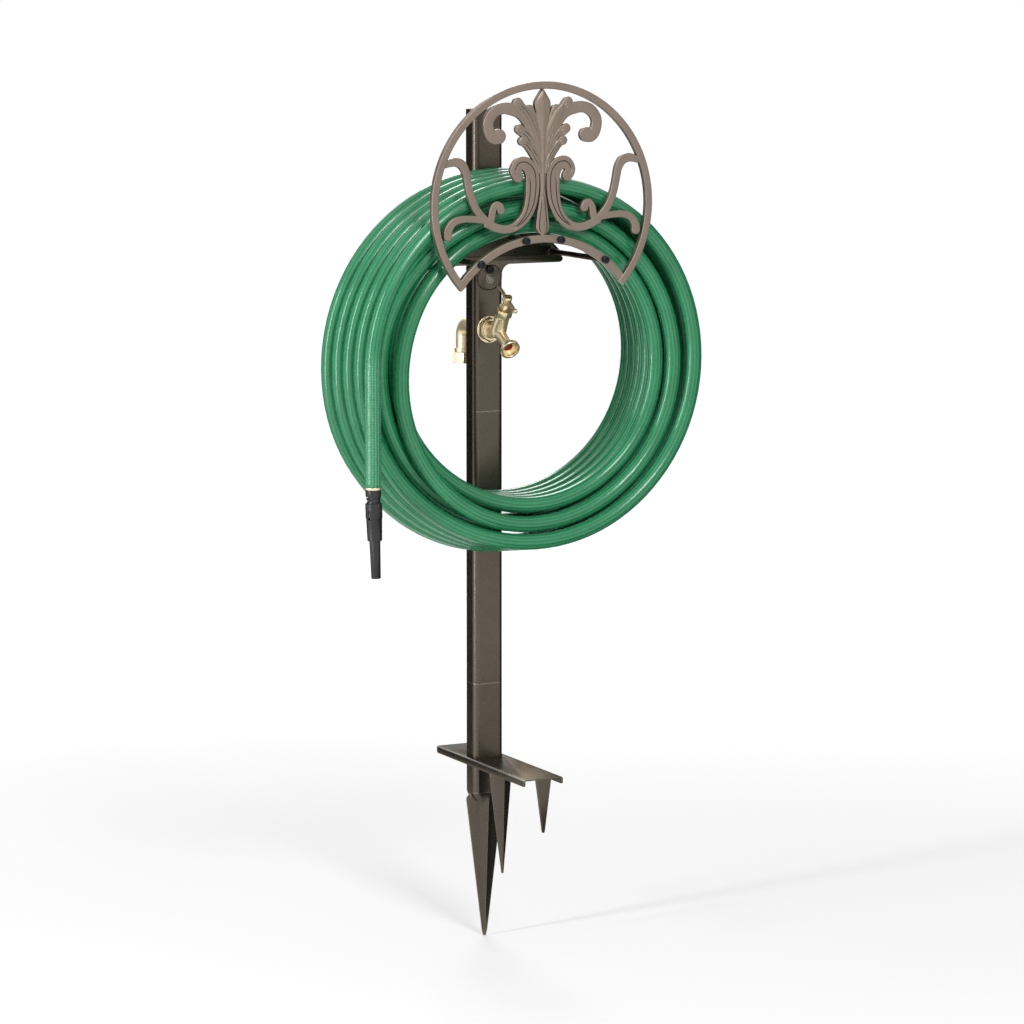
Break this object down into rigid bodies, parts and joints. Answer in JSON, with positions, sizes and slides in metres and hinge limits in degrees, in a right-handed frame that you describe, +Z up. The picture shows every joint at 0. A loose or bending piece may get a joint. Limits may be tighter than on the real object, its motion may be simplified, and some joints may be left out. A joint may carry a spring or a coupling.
{
  "type": "hose stand",
  "caption": "Spiked garden hose stand with an ornamental ring hanger, a tap on its post and a coiled hose with a twist nozzle.",
  "frame": {"origin": "on the post's axis at the underside of the step plate, which is ground level in use", "axes": "+X to the right seen from the front, the front (ring and tap) faces -Y, +Z up along the post"},
  "size_m": [0.528, 0.28, 1.203],
  "materials": {
    "bronze_paint": "satin bronze powder coat",
    "taupe_paint": "satin taupe paint on cast metal",
    "brass": "satin, as cast and turned",
    "black_steel": "black",
    "green_hose": "glossy vinyl",
    "black_plastic": "satin",
    "red_rubber": "matt"
  },
  "bodies": {
    "stand": {"post_lower": "bronze_paint", "post_middle": "bronze_paint", "post_upper": "bronze_paint", "lower_sleeve": "bronze_paint", "upper_sleeve": "bronze_paint", "post_cap": "bronze_paint", "step_plate": "bronze_paint", "folded_prong": "bronze_paint", "ground_spike": "bronze_paint", "face_casting": "taupe_paint", "face_screws": "black_steel", "hanger_plate": "bronze_paint", "inner_rods": "bronze_paint", "outer_rods": "bronze_paint", "bracket_bolt": "black_steel", "bracket_nut": "black_steel", "bracket_rivet": "bronze_paint", "tap_pipe": "brass", "front_washer": "brass", "front_nut": "brass", "rear_washer": "brass", "rear_nut": "brass", "tap_body": "brass", "tap_bonnet": "brass", "packing_nut": "brass", "outlet_washer": "red_rubber", "inlet_elbow": "brass", "inlet_washer": "red_rubber", "hose_coil": "green_hose", "hose_tail": "green_hose", "tail_ferrule": "brass", "nozzle_collar": "black_plastic", "nozzle_body": "black_plastic", "inner_end_hose": "green_hose", "inner_end_ferrule": "brass"},
    "valve": {"valve_washer": "red_rubber"},
    "handle": {"valve_stem": "brass", "tap_handle": "brass", "handle_screw": "brass"},
    "supply_nut": {"inlet_nut": "brass"},
    "nozzle_tip": {"nozzle_barrel": "black_plastic"},
    "hose_nut": {"inner_end_nut": "brass"}
  },
  "joints": [
    {"name": "valve_lift", "type": "slide", "parent": "stand", "child": "valve", "axis": [0, -0.515, 0.8572], "range_m": [0, 0.0044]},
    {"name": "handle_turn", "type": "hinge", "parent": "valve", "child": "handle", "pos_m": [0, -0.0445, 0.601], "axis": [0, -0.515, 0.8572], "range_deg": [0, 630]},
    {"name": "supply_nut_swivel", "type": "hinge", "parent": "stand", "child": "supply_nut", "pos_m": [0, 0.062, 0.555], "axis": [0, 0, 1], "continuous": true},
    {"name": "nozzle_twist", "type": "hinge", "parent": "stand", "child": "nozzle_tip", "pos_m": [-0.23999, -0.16148, 0.32963], "axis": [-0.0251, 0.0122, 0.9996], "range_deg": [0, 180]},
    {"name": "hose_nut_swivel", "type": "hinge", "parent": "stand", "child": "hose_nut", "pos_m": [0.2499, -0.006, 0.46], "axis": [0, 0, 1], "continuous": true}
  ],
  "couplings": [
    {"joint": "valve_lift", "follows": "handle_turn", "m_per_rad": 0.00039789}
  ]
}
